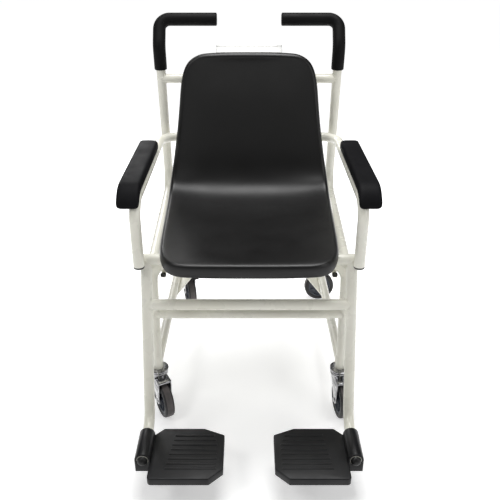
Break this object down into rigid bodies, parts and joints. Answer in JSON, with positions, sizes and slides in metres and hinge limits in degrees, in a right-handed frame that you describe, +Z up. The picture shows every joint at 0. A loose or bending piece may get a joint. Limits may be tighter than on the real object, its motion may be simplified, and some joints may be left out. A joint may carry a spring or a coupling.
{
  "type": "weighing chair on casters",
  "caption": "Weighing chair: moulded seat on a tubular frame with flip-up arms and folding footplates, held by a load cell on a wheeled chassis, with a rear weight indicator.",
  "frame": {"origin": "on the floor, under the middle of the chair's outer box", "axes": "+Z up, -Y towards the footplates in front, +X to the viewer's right when seen from the front"},
  "size_m": [0.5839, 0.9377, 0.9557],
  "materials": {
    "frame_paint": "warm ivory-white powder coat",
    "seat": "black, satin, fine grain",
    "pad": "black moulded skin foam, satin",
    "grip": "black foam, matt",
    "plug": "black, satin",
    "pedal": "black, satin",
    "footplate": "black, ribbed, satin",
    "casing": "pale grey, fine grain",
    "key": "blue-grey, satin",
    "board": "green circuit board",
    "window": "clear, dark behind",
    "cell": "milled",
    "zinc": "zinc plated",
    "chrome": "bright plated pressing",
    "buffer": "black rubber",
    "tyre": "dark grey rubber",
    "hub": "dark blue-grey nylon"
  },
  "bodies": {
    "frame": {"arm_pivot_tube": "frame_paint", "back_tube_left": "frame_paint", "back_tube_right": "frame_paint", "centre_spine": "frame_paint", "chassis_crossbar": "frame_paint", "display_board": "board", "display_window": "window", "footrest_end_plug_left": "plug", "footrest_end_plug_right": "plug", "footrest_tube_left": "frame_paint", "footrest_tube_right": "frame_paint", "front_cross_tube": "frame_paint", "front_hoop": "frame_paint", "front_leg_crossbar": "frame_paint", "front_leg_left": "frame_paint", "front_leg_right": "frame_paint", "handle_grip_left": "grip", "handle_grip_right": "grip", "indicator_bracket": "frame_paint", "indicator_front_housing": "casing", "indicator_rear_housing": "casing", "load_cell": "cell", "load_cell_base_plate": "zinc", "rear_cross_tube": "frame_paint", "seat_shell": "seat", "seat_support_frame": "frame_paint", "side_rail_left": "frame_paint", "side_rail_right": "frame_paint", "travel_stop_buffer_left": "buffer", "travel_stop_buffer_right": "buffer", "upper_crossbar": "frame_paint", "caster_head_front_left": "zinc", "caster_head_front_right": "zinc", "caster_head_rear_left": "zinc", "caster_head_rear_right": "zinc"},
    "armrest_left": {"armrest_tube_left": "frame_paint", "armrest_pad_left": "pad", "armrest_post_plug_left": "plug"},
    "armrest_right": {"armrest_tube_right": "frame_paint", "armrest_pad_right": "pad", "armrest_post_plug_right": "plug"},
    "footplate_left": {"footplate_left": "footplate"},
    "footplate_right": {"footplate_right": "footplate"},
    "key_1": {"indicator_key_1": "key"},
    "key_2": {"indicator_key_2": "key"},
    "key_3": {"indicator_key_3": "key"},
    "caster_swivel_front_left": {"caster_fork_front_left": "chrome"},
    "caster_wheel_front_left": {"caster_tyre_front_left": "tyre", "caster_hub_front_left": "hub"},
    "caster_swivel_front_right": {"caster_fork_front_right": "chrome"},
    "caster_wheel_front_right": {"caster_tyre_front_right": "tyre", "caster_hub_front_right": "hub"},
    "caster_swivel_rear_left": {"caster_fork_rear_left": "chrome"},
    "caster_wheel_rear_left": {"caster_tyre_rear_left": "tyre", "caster_hub_rear_left": "hub"},
    "brake_pedal_rear_left": {"brake_pedal_rear_left": "pedal"},
    "caster_swivel_rear_right": {"caster_fork_rear_right": "chrome"},
    "caster_wheel_rear_right": {"caster_tyre_rear_right": "tyre", "caster_hub_rear_right": "hub"},
    "brake_pedal_rear_right": {"brake_pedal_rear_right": "pedal"}
  },
  "joints": [
    {"name": "armrest_left_flip", "type": "hinge", "parent": "frame", "child": "armrest_left", "pos_m": [-0.19, 0.294, 0.63], "axis": [-1, 0, 0], "range_deg": [0, 75]},
    {"name": "armrest_right_flip", "type": "hinge", "parent": "frame", "child": "armrest_right", "pos_m": [0.19, 0.294, 0.63], "axis": [-1, 0, 0], "range_deg": [0, 75]},
    {"name": "footplate_left_fold", "type": "hinge", "parent": "frame", "child": "footplate_left", "pos_m": [-0.238, -0.334, 0.104], "axis": [0, -1, 0], "range_deg": [0, 80]},
    {"name": "footplate_right_fold", "type": "hinge", "parent": "frame", "child": "footplate_right", "pos_m": [0.238, -0.334, 0.104], "axis": [0, 1, 0], "range_deg": [0, 80]},
    {"name": "caster_swivel_front_left_turn", "type": "hinge", "parent": "frame", "child": "caster_swivel_front_left", "pos_m": [-0.239, -0.12, 0.114], "axis": [0, 0, 1], "continuous": true},
    {"name": "caster_wheel_front_left_spin", "type": "hinge", "parent": "caster_swivel_front_left", "child": "caster_wheel_front_left", "pos_m": [-0.22538, -0.14673, 0.05], "axis": [0.891, 0.454, 0], "continuous": true},
    {"name": "caster_swivel_front_right_turn", "type": "hinge", "parent": "frame", "child": "caster_swivel_front_right", "pos_m": [0.239, -0.12, 0.114], "axis": [0, 0, 1], "continuous": true},
    {"name": "caster_wheel_front_right_spin", "type": "hinge", "parent": "caster_swivel_front_right", "child": "caster_wheel_front_right", "pos_m": [0.24318, -0.14971, 0.05], "axis": [0.9903, 0.1392, 0], "continuous": true},
    {"name": "caster_swivel_rear_left_turn", "type": "hinge", "parent": "frame", "child": "caster_swivel_rear_left", "pos_m": [-0.2135, 0.4425, 0.114], "axis": [0, 0, 1], "continuous": true},
    {"name": "caster_wheel_rear_left_spin", "type": "hinge", "parent": "caster_swivel_rear_left", "child": "caster_wheel_rear_left", "pos_m": [-0.20423, 0.41397, 0.05], "axis": [0.9511, 0.309, 0], "continuous": true},
    {"name": "brake_pedal_rear_left_press", "type": "hinge", "parent": "caster_swivel_rear_left", "child": "brake_pedal_rear_left", "pos_m": [-0.20213, 0.4075, 0.11], "axis": [0.9511, 0.309, 0], "range_deg": [0, 12]},
    {"name": "caster_swivel_rear_right_turn", "type": "hinge", "parent": "frame", "child": "caster_swivel_rear_right", "pos_m": [0.2135, 0.4425, 0.114], "axis": [0, 0, 1], "continuous": true},
    {"name": "caster_wheel_rear_right_spin", "type": "hinge", "parent": "caster_swivel_rear_right", "child": "caster_wheel_rear_right", "pos_m": [0.24339, 0.44511, 0.05], "axis": [-0.0872, 0.9962, 0], "continuous": true},
    {"name": "brake_pedal_rear_right_press", "type": "hinge", "parent": "caster_swivel_rear_right", "child": "brake_pedal_rear_right", "pos_m": [0.25016, 0.44571, 0.11], "axis": [-0.0872, 0.9962, 0], "range_deg": [0, 12]},
    {"name": "key_1_press", "type": "slide", "parent": "frame", "child": "key_1", "axis": [0, -0.866, -0.5], "range_m": [0, 0.0012], "stiffness_N_per_m": 300},
    {"name": "key_2_press", "type": "slide", "parent": "frame", "child": "key_2", "axis": [0, -0.866, -0.5], "range_m": [0, 0.0012], "stiffness_N_per_m": 300},
    {"name": "key_3_press", "type": "slide", "parent": "frame", "child": "key_3", "axis": [0, -0.866, -0.5], "range_m": [0, 0.0012], "stiffness_N_per_m": 300}
  ]
}
